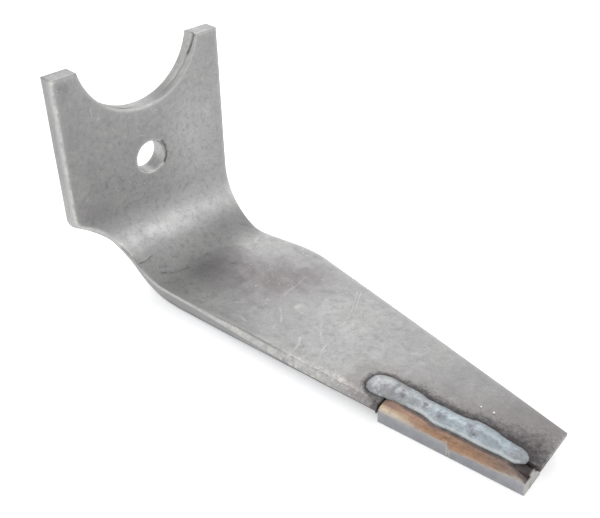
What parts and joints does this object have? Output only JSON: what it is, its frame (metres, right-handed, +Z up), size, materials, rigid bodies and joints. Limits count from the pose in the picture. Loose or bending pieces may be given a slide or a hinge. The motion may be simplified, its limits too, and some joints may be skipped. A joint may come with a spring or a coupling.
{
  "type": "power harrow tine",
  "caption": "Bent steel harrow tine: upright plate with a half-round hub notch and a bolt hole, tapering blade, and a welded carbide tipped wear bar on its leading edge.",
  "frame": {"origin": "centre of the tine's box on the floor it rests on", "axes": "+X along the blade towards the tip, +Y across the plate towards the trailing edge, +Z up the mounting plate"},
  "size_m": [0.2536, 0.1072, 0.1245],
  "materials": {
    "forged_steel": "raw forged steel, matt grey with light scale, scratches and soot beside the weld",
    "carrier_steel": "sawn steel, matt, copper coloured where the braze ran over it",
    "carbide": "ground cemented carbide, smooth dark grey",
    "braze": "copper coloured braze, dull and heat stained",
    "weld_metal": "bluish grey weld metal with a thin slag skin"
  },
  "bodies": {
    "root": {"tine_body": "forged_steel", "tip_carrier": "carrier_steel", "carbide_tile_inner": "carbide", "carbide_tile_outer": "carbide", "braze_run": "braze", "weld_bead": "weld_metal"}
  },
  "joints": []
}
